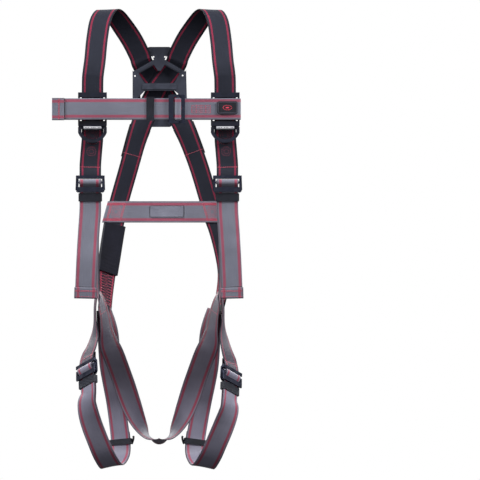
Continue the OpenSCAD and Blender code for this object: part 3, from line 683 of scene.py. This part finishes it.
SHOULDER_OF = {LEFT: (-4.8, -6.48, TO_RIGHT_BACK), RIGHT: (-7.47, -9.99, TO_LEFT_BACK)}
straps = {}
for s, side in SIDES.items():
    name = side + "_shoulder_strap"
    straps[name] = strap_piece(name, shoulder_route(s, *SHOULDER_OF[s]), DARK_WEB, "dark_webbing")
    name = side + "_front_strap"
    straps[name] = strap_piece(name, flip(FRONT_ROUTE, s), GREY_WEB, "grey_webbing", shift=-0.035,
                               cup=droop(0.9, 90, 3 + s, 150, 0.5))
    name = side + "_leg_strap"
    straps[name] = strap_piece(name, flip(leg_route(s), s), LIT_SHADED_LEG_WEB, "grey_webbing")
    name = side + "_leg_riser"
    straps[name] = strap_piece(name, flip(riser_route(s), s), PAINTED_SHADE_RISER_WEB, "dark_webbing")
straps["seat_strap"] = strap_piece("seat_strap", SEAT_ROUTE, LIT_SHADED_SEAT_WEB, "grey_webbing")
straps["waist_strap"] = strap_piece("waist_strap", WAIST_ROUTE, GREY_WEB, "grey_webbing", slant=waist_slant)
straps["chest_strap_left"] = strap_piece("chest_strap_left", CHEST_LEFT, GREY_WEB, "grey_webbing", "chest",
                                         shift=0.03, cup=droop(0.7, 110, 9, 190, 0.4))
straps["chest_strap_right"] = strap_piece("chest_strap_right", CHEST_RIGHT, GREY_WEB, "grey_webbing", "chest",
                                          shift=0.03)


# ---- folded ends and seams ----

def fold(name, strap, low, high, side, body, material, wider=1.2):
    """The sewn-back end of a strap: a second layer on one face, turned round the end at along = low."""
    t = WEB_T
    inner = [strap.at(a, 0, side * (t + 0.12)) for a in np.arange(high, low, -2.5)]
    inner_w = [unit(strap.at(a, 1) - strap.at(a, 0)) for a in np.arange(high, low, -2.5)]
    out_dir = unit(strap.at(low, 0) - strap.at(low + 4, 0))
    normal = unit(strap.at(low, 0, 1) - strap.at(low, 0, 0)) * side
    centre, w_end = strap.at(low, 0, side * (t + 0.12) / 2), inner_w[-1]
    turn = [centre + normal * (t + 0.12) / 2 * math.cos(a) + out_dir * 1.1 * math.sin(a)
            for a in np.linspace(0.3, math.pi * 0.9, 6)]
    keys = [list(p) + list(w) for p, w in zip(inner, inner_w)] + [list(p) + list(w_end) for p in turn]
    obj, _ = ribbon(name, keys, material, w=WEB_W + wider, t=t, refined=True)
    own(obj, body, "grey_webbing")


def seam(name, body, strap, patterns, side, material=None, height=WEB_T / 2 + 0.15, **how):
    """Stitched lines on one face of a strap, as (along, across) points."""
    obj = stitch_lines(name, [drawn(strap, points, side, height) for points in patterns],
                       material or RED_THREAD, **how)
    own(obj, body, "dark_webbing")


def face_towards(strap, along, direction):
    """1 or -1: the face of the strap that looks in a direction at that distance along"""
    return 1 if (strap.at(along, 0, 1) - strap.at(along, 0, 0)) @ np.asarray(direction, float) > 0 else -1


FRONT = (0, -1, 0)
THREAD_UP = WEB_T * 1.5 + 0.35
for s, side in SIDES.items():
    # the front tail's end, sewn back on itself
    tail = straps[side + "_front_strap"]
    f = face_towards(tail, 20, FRONT)
    fold(side + "_tail_hem", tail, 1.0, 22.5, f, "straps", GREY_WEB, wider=3.4)
    seam(side + "_tail_hem_stitches", "straps", tail,
         [[(a, -22.5), (a, 22.5)] for a in (3.2, 14.0, 16.0)], f, height=THREAD_UP)
    # a dark thread line along the fold's top edge: a painted shadow line
    seam(side + "_tail_hem_edge", "straps", tail, [[(23.6, -22.8), (23.6, 22.8)]], f, DARK_THREAD,
         length=6, gap=0.1, radius=0.8)
    # the shoulder strap's sewn loop above the torso buckle, its tack and the rings behind the D
    web = straps[side + "_shoulder_strap"]
    start = web.nearest((s * 142, -222, -116), 40, 200)
    f = face_towards(web, start, FRONT)
    tack = web.nearest((s * 140.4, -222, -84), 40, 250)
    rings = web.nearest((s * 139, -222, -52), 40, 300)
    rounds = [circle(tack, 0, r) for r in (9.5, 5)] + [circle(rings, 0, r) for r in (18, 14, 10, 6)]
    seam(side + "_chest_stitches", "straps", web, [[(start, -21), (start, 21)]], f, radius=0.6)
    seam(side + "_ring_stitches", "straps", web, rounds, f, length=1.5, gap=2.4, radius=0.32)
    # where the doubled back part ends
    along = web.nearest((-s * 55, -29.5, -92), 400)
    f = face_towards(web, along, FRONT)
    seam(side + "_back_cross_stitch", "straps", web,
         [[(along, -22), (along, 22)]], f)
    doubling = [list(web.at(along + a, 0, -f * (WEB_T + 0.5)))
                + list(unit(web.at(along + a, 1) - web.at(along + a, 0))) for a in (-60, -40, -20, 0, 9)]
    obj, _ = ribbon(side + "_back_doubling", doubling, DARK_WEB, w=WEB_W + 2.4, t=WEB_T, step=5)
    own(obj, "straps", "dark_webbing")
    # the hip, where the back strap, the leg strap and the front strap are sewn through
    hip = web.nearest((-s * 110, -66, -352), 500)
    f = face_towards(web, hip, FRONT)
    zigzag = [(hip - 18 + 3 * k, 17 if k % 2 else -17) for k in range(25)]
    seam(side + "_hip_stitches", "straps", web,
         [zigzag, rectangle(hip + 18, 0, 38, 19), rectangle(hip + 18, 0, 35.5, 16.5)], f)
    # boxed and ringed ends of the waist strap
    waist = straps["waist_strap"]
    end = 21.0 if s < 0 else waist.length() - 24.0
    f = face_towards(waist, end, FRONT)
    slope = 0.3
    boxes = [[(a - s * slope * b, b) for a, b in rectangle(end, 0, *half)]
             for half in ((14.5, 15.5), (17.3, 18.2))]
    seam(side + "_waist_box", "straps", waist, boxes, f, length=3.4, gap=0.5, radius=0.75)
    seam(side + "_waist_rings", "straps", waist, [circle(end, 0, r) for r in (12.5, 9, 5.5)], f,
         length=2.4, gap=1.2, radius=0.5)
    # the leg strap's tail hem and the riser's sewn loop
    leg = straps[side + "_leg_strap"]
    f = face_towards(leg, leg.length() - 12, (s * 0.5, -0.8, 0))
    seam(side + "_leg_hem_stitches", "straps", leg,
         [[(leg.length() - a, -21), (leg.length() - a, 21)] for a in (9, 11.5)], f)
    riser = straps[side + "_leg_riser"]
    low = riser.nearest(at(LEG[s], 27, 0) * np.array([s, 1, 1]), 30, 80)
    f = face_towards(riser, low, (s * 0.76, -0.62, 0.19))
    seam(side + "_riser_stitches", "straps", riser,
         [[(low, -21), (low, 21)], [(low + 2.6, -21), (low + 2.6, 21)]], f)
    # short stitched bars where the seat strap is sewn in at the hip
    seat = straps["seat_strap"]
    end = 30.0 if s < 0 else seat.length() - 30.0
    for f, face in ((-1, "_seat_box_a"), (1, "_seat_box_b")):
        seam(side + face, "straps", seat, [rectangle(end, 0, 20, 18)], f)
chest = straps["chest_strap_left"]
f = face_towards(chest, 40, FRONT)
fold("chest_hem", chest, 1.0, 24.5, f, "chest", GREY_WEB, wider=1.6)
seam("chest_hem_stitches", "chest", chest, [[(a, -22), (a, 22)] for a in (12.5, 14.6)], f, height=THREAD_UP)
# a dark thread line along the fold's top edge: a painted shadow line
seam("chest_hem_edge", "chest", chest, [[(25.4, -22.8), (25.4, 22.8)]], f, DARK_THREAD,
     length=6, gap=0.1, radius=0.8)
right_chest = straps["chest_strap_right"]
grid_at = right_chest.nearest((88, -240, 4), 60)
f = face_towards(right_chest, grid_at, FRONT)
grid = [[(grid_at - 20, b), (grid_at + 20, b)] for b in (-8, -4, 0, 4, 8)]
grid += [[(grid_at + a, -8), (grid_at + a, 8)] for a in (-20, -10, 0, 10, 20)]
seam("chest_grid_stitches", "chest", right_chest, grid, f, length=2.2)


# ---- hardware: CAD nodes with rounded edges and their finishes ----

def finish_node(name, material, bevel, segments=3):
    obj = NODES[name]
    obj.data.materials.clear()
    obj.data.materials.append(material)
    add_bevel(obj, bevel, segments)


for name in NODES:
    if name.endswith(("_frame", "_link")):
        finish_node(name, BLACK_STEEL, 0.7)
    elif name.endswith("_bar"):
        finish_node(name, BAR_STEEL, 0.4, 2)
    elif name.endswith("keeper"):
        finish_node(name, KEEPER, 0.6, 2)
    elif name.endswith("adjuster") or name.endswith("parking_ring"):
        finish_node(name, BLACK_PLASTIC, 0.9)
finish_node("back_plate", SLATE, 0.9)
finish_node("dorsal_ring", RING_STEEL, 1.6, 4)
finish_node("label_sleeve", SLEEVE, 0.6)
finish_node("label_booklet", PAPER, 0.3, 2)
finish_node("chest_badge", BADGE, 0.5)
finish_node("waist_patch", PATCH, 0.2, 2)


# ---- plate, badge, label and keeper details ----

def front_of(name, x, z):
    """y in mm of the first surface of a CAD node seen from the front at x, z in mm"""
    obj = NODES[name]
    world = obj.matrix_world
    hit, where, _, _ = obj.ray_cast(world.inverted() @ Vector((x * MM, -1.0, z * MM)),
                                    world.inverted().to_3x3() @ Vector((0, 1, 0)))
    return (world @ where).y / MM if hit else None


def pad(name, outline, back, thick, material, body, slot, bevel=0.5, segments=3):
    """a flat raised piece: an outline of (x, z) points standing thick in front of y = back"""
    n = len(outline)
    verts = [(x, back, z) for x, z in outline] + [(x, back - thick, z) for x, z in outline]
    faces = [tuple(range(n)), tuple(range(2 * n - 1, n - 1, -1))]
    faces += [(k, k + n, (k + 1) % n + n, (k + 1) % n) for k in range(n)]
    obj = mesh_object(name, verts, faces, material, smooth_faces=False)
    bm = bmesh.new()
    bm.from_mesh(obj.data)
    bmesh.ops.recalc_face_normals(bm, faces=bm.faces)
    bm.to_mesh(obj.data)
    bm.free()
    add_bevel(obj, bevel, segments)
    return own(obj, body, slot)


def slab(a, b, half):
    """the outline of a straight bar between two (x, z) points"""
    a, b = np.array(a, float), np.array(b, float)
    side = np.array([-(b - a)[1], (b - a)[0]]) / np.linalg.norm(b - a) * half
    return [tuple(p) for p in (a - side, b - side, b + side, a + side)]


def disc(name, where, u, v, n, radius, thick, material, body, slot, s=1, count=24):
    """a flat cap at u, v, n of a buckle's place on side s, facing along u"""
    verts = []
    for du in (-thick / 2, thick / 2):
        for k in range(count):
            t = 2 * math.pi * k / count
            p = where[0] + where[1] * (u + du) + where[2] * (v + radius * math.cos(t)) \
                + where[3] * (n + radius * math.sin(t))
            verts.append(p * np.array([s, 1, 1]))
    faces = [tuple(range(count - 1, -1, -1)), tuple(range(count, 2 * count))]
    faces += [(k, (k + 1) % count, (k + 1) % count + count, k + count) for k in range(count)]
    obj = mesh_object(name, verts, faces, material, smooth_faces=False)
    if s < 0:
        obj.data.flip_normals()
    add_bevel(obj, 0.25, 2)
    return own(obj, body, slot)


PLATE_FRONT = -22.0
PRINT_Z = -34.6
for s, tag in SIDES.items():
    pad(tag + "_bridge_pad", slab((s * 44.5, 84.5), (s * 15, 101.5), 3.2), PLATE_FRONT + 0.1, 1.5, SLATE,
        "straps", "slate_plate", 0.6)
    print_x = s * ADJUSTER_X
    y = front_of(tag + "_chest_adjuster", print_x, PRINT_Z)
    if y is not None:
        pad(tag + "_print_bar", rectangle(print_x, PRINT_Z, 18.5, 2.6)[:4],
            y + 0.3, 0.55, PRINT, "chest", "black_plastic", 0.2, 2)
        for k in range(10):
            x = print_x - 15 + 3.4 * k
            if k % 4 != 3:
                pad(tag + "_print_mark_%d" % k, slab((x, PRINT_Z - 1.1), (x, PRINT_Z + 1.1), 0.7), y - 0.2, 0.12,
                    DARK_PRINT, "chest", "black_plastic", 0.03, 1)


# the caps at the ends of each buckle's bar, light grey as painted glints, and the lugs that hold the parking rings
CAP_OUT, CAP_V, CAP_N = 23.5, 1.4, 2.6
LUG_OUT, LUG_Z, LUG_BACK = 25.3, -31.5, -223.4
BUCKLES = [("chest", CHEST, 1)]
for s, tag in SIDES.items():
    BUCKLES += [(tag + "_torso", TORSO, s), (tag + "_leg", LEG[s], s)]
for name, where, s in BUCKLES:
    for k, u in enumerate((-CAP_OUT, CAP_OUT)):
        disc(name + "_bar_cap_%d" % k, where, u, CAP_V, CAP_N, 4.6, 1.0, GLINT_CAP_STEEL,
             name + "_bar", "bar_steel", s)
for s, tag in SIDES.items():
    for k in (-1, 1):
        x = s * ADJUSTER_X + k * LUG_OUT
        pad(tag + "_lug_%d" % (k + 1), rectangle(x, LUG_Z, 3.6, 6.5)[:4], LUG_BACK, 1.2,
            BLACK_PLASTIC, "chest", "black_plastic", 0.4, 2)
pad("plate_cross_pad", slab((-36, 52), (36, 52), 5.4), PLATE_FRONT + 0.1, 1.4, SLATE, "straps", "slate_plate", 0.6)

badge = NODES["chest_badge"]
corners = [badge.matrix_world @ Vector(c) for c in badge.bound_box]
low = [min(c[k] for c in corners) / MM for k in range(3)]
high = [max(c[k] for c in corners) / MM for k in range(3)]
mid_x, mid_z = (low[0] + high[0]) / 2, (low[2] + high[2]) / 2
half_x, half_z = (high[0] - low[0]) / 2 - 2.2, (high[2] - low[2]) / 2 - 2.2
for k, (a, b) in enumerate((((-1, -1), (1, -1)), ((1, -1), (1, 1)), ((1, 1), (-1, 1)), ((-1, 1), (-1, -1)))):
    pad("badge_rim_%d" % k, slab((mid_x + a[0] * half_x, mid_z + a[1] * half_z),
                                 (mid_x + b[0] * half_x, mid_z + b[1] * half_z), 0.8),
        low[1] + 0.1, 0.7, BADGE_RIM, "chest", "badge_rubber", 0.25, 2)
oval = [(mid_x + 9.5 * math.cos(t), mid_z + 4.9 * math.sin(t)) for t in np.linspace(0, 2 * math.pi, 37)]
ring_line = [(x, low[1] - 0.05, z) for x, z in oval]
mark = stitch_lines("badge_oval", [(ring_line, [FRONT] * len(ring_line))], BADGE_RED,
                    length=4, gap=0.02, radius=0.42)
own(mark, "chest", "badge_rubber")
pad("badge_bar", slab((mid_x - 3.4, mid_z), (mid_x + 3.4, mid_z), 1.3), low[1] + 0.1, 0.5, BADGE_RED, "chest",
    "badge_rubber", 0.15, 2)

# the outline sewn round the waist label
label = ((-20, -220.5), (52, -220.5), (52, -197), (-20, -197), (-20, -220.5))
waist = straps["waist_strap"]
line = []
for (x0, z0), (x1, z1) in zip(label, label[1:]):
    for k in range(24):
        x, z = x0 + (x1 - x0) * k / 24, z0 + (z1 - z0) * k / 24
        y = front_of("waist_patch", x, z)
        if y is None:
            y = waist.at(waist.nearest((x, -18, WAIST_Z)))[1] - WEB_T / 2
        line.append((x, y - 0.15, z))
line.append(line[0])
own(stitch_lines("waist_label_outline", [(line, [FRONT] * len(line))], DARK_THREAD, 3.4, 0.3, 0.5),
    "straps", "dark_webbing")

# the stiff ear at the inner end of each hem keeper
for s, side in SIDES.items():
    name = side + "_hem_keeper"
    corners = [NODES[name].matrix_world @ Vector(c) / MM for c in NODES[name].bound_box]
    xs, ys, zs = zip(*corners)
    inner = max(xs) if s < 0 else min(xs)
    yc, zc = (min(ys) + max(ys)) / 2, (min(zs) + max(zs)) / 2
    keys = [[inner + s * 1.2, yc, zc - 4, 0, 1, 0], [inner - s * 1.2, yc, zc + 3, 0, 1, 0],
            [inner - s * 2.4, yc, zc + 9, 0, 1, 0], [inner - s * 2.0, yc, zc + 13, 0, 1, 0]]
    obj, _ = ribbon(name + ".ear", keys, KEEPER_TAG, w=9, t=4.2, step=2)
    own(obj, name, "keeper_elastic")


# ---- floor, light and camera ----

def stage_floor():
    mesh = bpy.data.meshes.new("floor")
    bm = bmesh.new()
    bmesh.ops.create_circle(bm, cap_ends=True, segments=64, radius=0.85)
    bm.to_mesh(mesh)
    bm.free()
    g = Graph("floor_paint")
    soft = g.noise(3.0, 2.0)
    pale = g.mix(soft, (0.84, 0.84, 0.85, 1), (0.88, 0.88, 0.88, 1))
    mesh.materials.append(g.finish(Base_Color=pale, Roughness=0.9))
    floor = bpy.data.objects.new("floor", mesh)
    floor.location = (0, -0.12, -1.5)
    bpy.context.scene.collection.objects.link(floor)
    # the floor is pale, but throws no light up at the legs
    floor.visible_diffuse = floor.visible_glossy = False


def area_light(name, place_at, target, size, power):
    light = bpy.data.lights.new(name, "AREA")
    light.shape, light.size, light.energy = "DISK", size, power
    obj = bpy.data.objects.new(name, light)
    obj.location = place_at
    obj.rotation_mode = "QUATERNION"
    obj.rotation_quaternion = (Vector(target) - Vector(place_at)).to_track_quat("-Z", "Y")
    bpy.context.scene.collection.objects.link(obj)


def studio_world():
    """White behind the object; light from a bright ceiling that fades to a dim floor."""
    world = bpy.data.worlds.new("studio")
    world.use_nodes = True
    nodes, links = world.node_tree.nodes, world.node_tree.links
    background = nodes["Background"]
    up = nodes.new("ShaderNodeSeparateXYZ")
    links.new(nodes.new("ShaderNodeTexCoord").outputs["Generated"], up.inputs[0])
    level = nodes.new("ShaderNodeValToRGB")
    remap = nodes.new("ShaderNodeMapRange")
    remap.inputs["From Min"].default_value, remap.inputs["From Max"].default_value = -1.0, 1.0
    links.new(up.outputs[2], remap.inputs["Value"])
    links.new(remap.outputs[0], level.inputs[0])
    ramp = level.color_ramp
    ramp.elements[0].position, ramp.elements[0].color = 0.38, (0.05, 0.05, 0.055, 1)
    ramp.elements[1].position, ramp.elements[1].color = 0.8, (0.42, 0.42, 0.44, 1)
    middle = ramp.elements.new(0.52)
    middle.color = (0.13, 0.13, 0.138, 1)
    pick = nodes.new("ShaderNodeMix")
    pick.data_type = "RGBA"
    links.new(nodes.new("ShaderNodeLightPath").outputs["Is Camera Ray"], pick.inputs[0])
    links.new(level.outputs[0], pick.inputs[6])
    pick.inputs[7].default_value = (1, 1, 1, 1)
    links.new(pick.outputs[2], background.inputs[0])
    bpy.context.scene.world = world


stage_floor()
studio_world()
bpy.context.scene.view_settings.view_transform = "Standard"
MIDDLE = (0.0, -0.14, -0.27)
for side_x in (-2.8, 2.8):
    area_light("side" + ("A" if side_x < 0 else "B"), (side_x, -1.25, 1.9), MIDDLE, 1.3, 176)
area_light("front", (0.3, -3.6, 0.5), MIDDLE, 2.2, 13)
area_light("low", (0.0, -2.2, -1.35), (0.0, -0.1, -0.7), 1.2, 4)
for side_x in (-1.9, 1.9):
    area_light("back" + ("A" if side_x < 0 else "B"), (side_x, 2.7, 1.1), MIDDLE, 1.4, 85)

FRAME_HEIGHT = 1.003
LENS, SENSOR = 1400.0, 36.0
CENTRE_X, CENTRE_Z = 0.1693, -0.269
distance = FRAME_HEIGHT * LENS / SENSOR
camera = bpy.data.objects.new("camera", bpy.data.cameras.new("camera"))
camera.data.lens, camera.data.sensor_width = LENS, SENSOR
camera.data.clip_end = 100
camera.location = (CENTRE_X, -0.16 - distance, CENTRE_Z)
camera.rotation_euler = (math.pi / 2, 0, 0)
bpy.context.scene.collection.objects.link(camera)
bpy.context.scene.camera = camera
